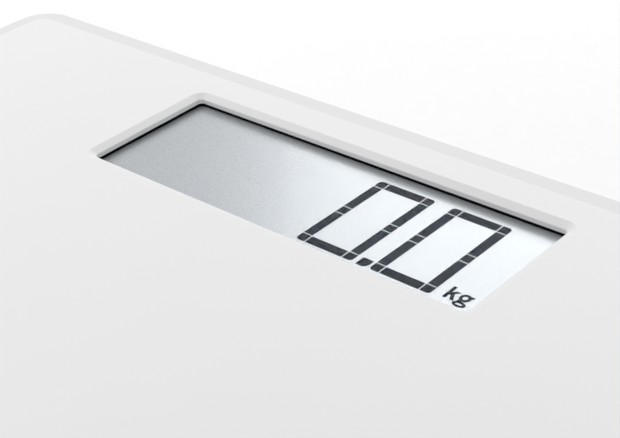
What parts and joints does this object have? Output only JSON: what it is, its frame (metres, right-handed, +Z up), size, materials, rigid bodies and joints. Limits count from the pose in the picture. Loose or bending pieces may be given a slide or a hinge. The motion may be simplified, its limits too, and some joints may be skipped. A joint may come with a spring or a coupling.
{
  "type": "digital bathroom scale",
  "caption": "Flat square bathroom scale: white platform with a sloping rim, recessed liquid-crystal display, base tray, battery door and sprung weighing feet.",
  "frame": {"origin": "on the floor, under the middle of the square footprint", "axes": "+X to the right as the display is read, +Y towards the display edge, +Z up"},
  "size_m": [0.31, 0.31, 0.025],
  "materials": {
    "white_plastic": "fine satin grain",
    "base_plastic": "matte moulded",
    "grey_plastic": "matte moulded",
    "black_plastic": "matte moulded",
    "foot_plastic": "matte moulded",
    "foot_rubber": "matte",
    "black_foam": "matte closed-cell foam",
    "contact_rubber": "layered conductive rubber",
    "display_glass": "clear, slightly satin",
    "display_seal": "cured epoxy",
    "display_segments": "dark blue-grey, flat",
    "display_reflector": "fine-grained satin reflector",
    "board_laminate": "green solder mask",
    "black_epoxy": "moulded epoxy",
    "ceramic": "fired ceramic",
    "socket_plastic": "moulded nylon",
    "tinned_metal": "bright tinned",
    "zinc_steel": "zinc plated",
    "battery_steel": "nickel plated",
    "cell_steel": "nickel plated spring steel",
    "gauge_sealant": "white silicone",
    "black_wire": "pvc insulation",
    "red_wire": "pvc insulation",
    "lead_insulation": "pvc insulation"
  },
  "bodies": {
    "scale_body": {"platform": "white_plastic", "display_gasket": "black_foam", "lcd_polariser": "display_glass", "lcd_front_glass": "display_glass", "lcd_seal": "display_seal", "lcd_digits": "display_segments", "lcd_unit_sign": "display_segments", "lcd_rear_glass": "display_glass", "lcd_reflector": "display_reflector", "display_carrier": "black_plastic", "contact_strips": "contact_rubber", "circuit_board": "board_laminate", "controller_blob": "black_epoxy", "amplifier_chip": "black_epoxy", "amplifier_legs": "tinned_metal", "crystal": "tinned_metal", "chip_capacitors": "ceramic", "chip_resistors": "black_epoxy", "lead_sockets": "socket_plastic", "unit_switch_body": "black_plastic", "board_screws": "zinc_steel", "base_shell": "base_plastic", "base_screws": "zinc_steel", "battery_cell": "battery_steel", "battery_contact_minus": "tinned_metal", "battery_contact_plus": "tinned_metal", "battery_lead_minus": "black_wire", "battery_lead_plus": "red_wire", "holder_screws": "zinc_steel", "load_cell_front_left": "cell_steel", "strain_gauge_front_left": "gauge_sealant", "cell_holder_front_left": "base_plastic", "cell_lead_front_left": "lead_insulation", "load_cell_front_right": "cell_steel", "strain_gauge_front_right": "gauge_sealant", "cell_holder_front_right": "base_plastic", "cell_lead_front_right": "lead_insulation", "load_cell_back_left": "cell_steel", "strain_gauge_back_left": "gauge_sealant", "cell_holder_back_left": "base_plastic", "cell_lead_back_left": "lead_insulation", "load_cell_back_right": "cell_steel", "strain_gauge_back_right": "gauge_sealant", "cell_holder_back_right": "base_plastic", "cell_lead_back_right": "lead_insulation"},
    "battery_door": {"battery_door": "base_plastic"},
    "unit_button": {"unit_button": "grey_plastic", "unit_switch_plunger": "black_plastic"},
    "foot_front_left": {"foot_front_left": "foot_plastic", "foot_pad_front_left": "foot_rubber"},
    "foot_front_right": {"foot_front_right": "foot_plastic", "foot_pad_front_right": "foot_rubber"},
    "foot_back_left": {"foot_back_left": "foot_plastic", "foot_pad_back_left": "foot_rubber"},
    "foot_back_right": {"foot_back_right": "foot_plastic", "foot_pad_back_right": "foot_rubber"}
  },
  "joints": [
    {"name": "battery_door_hinge", "type": "hinge", "parent": "scale_body", "child": "battery_door", "pos_m": [0, -0.0216, 0.0066], "axis": [1, 0, 0], "range_deg": [0, 95]},
    {"name": "unit_button_press", "type": "slide", "parent": "scale_body", "child": "unit_button", "axis": [0, 0, 1], "range_m": [0, 0.0008], "stiffness_N_per_m": 300, "springref_m": -0.0005},
    {"name": "foot_front_left_press", "type": "slide", "parent": "scale_body", "child": "foot_front_left", "axis": [0, 0, 1], "range_m": [0, 0.0004], "stiffness_N_per_m": 8000, "springref_m": -0.0008, "deforming": ["load_cell_front_left"]},
    {"name": "foot_front_right_press", "type": "slide", "parent": "scale_body", "child": "foot_front_right", "axis": [0, 0, 1], "range_m": [0, 0.0004], "stiffness_N_per_m": 8000, "springref_m": -0.0008, "deforming": ["load_cell_front_right"]},
    {"name": "foot_back_left_press", "type": "slide", "parent": "scale_body", "child": "foot_back_left", "axis": [0, 0, 1], "range_m": [0, 0.0004], "stiffness_N_per_m": 8000, "springref_m": -0.0008, "deforming": ["load_cell_back_left"]},
    {"name": "foot_back_right_press", "type": "slide", "parent": "scale_body", "child": "foot_back_right", "axis": [0, 0, 1], "range_m": [0, 0.0004], "stiffness_N_per_m": 8000, "springref_m": -0.0008, "deforming": ["load_cell_back_right"]}
  ]
}
